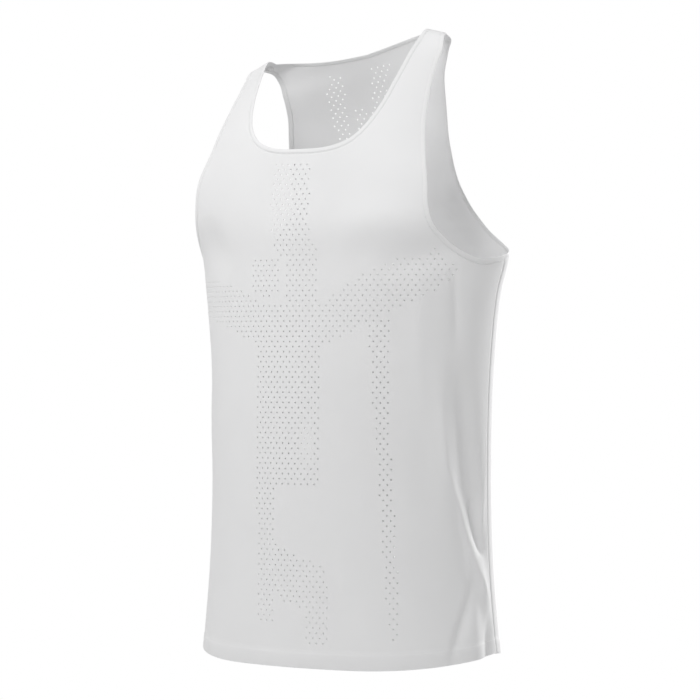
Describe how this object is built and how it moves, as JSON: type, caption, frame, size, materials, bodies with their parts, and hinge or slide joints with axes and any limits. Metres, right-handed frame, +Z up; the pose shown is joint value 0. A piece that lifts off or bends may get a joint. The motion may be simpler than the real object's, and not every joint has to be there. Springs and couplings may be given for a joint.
{
  "type": "running singlet",
  "caption": "Sleeveless running singlet, worn and hollow: scoop neck, cut-in armholes, narrow bound edges and a turned-up hem, with the left shoulder held a little higher.",
  "frame": {"origin": "midway between the shoulders at the height of the neck points, where the wearer holds the garment up", "axes": "+X to the wearer's left, -Y to the front, +Z up"},
  "size_m": [0.3766, 0.2061, 0.6832],
  "materials": {
    "panel_cloth": "smooth matte white polyester with fine punched vents",
    "binding_tape": "smooth white bonded tape, slightly glossier than the cloth"
  },
  "bodies": {
    "root": {"front": "panel_cloth", "back": "panel_cloth", "neck_binding": "binding_tape", "armhole_binding_left": "binding_tape", "armhole_binding_right": "binding_tape"}
  },
  "joints": []
}
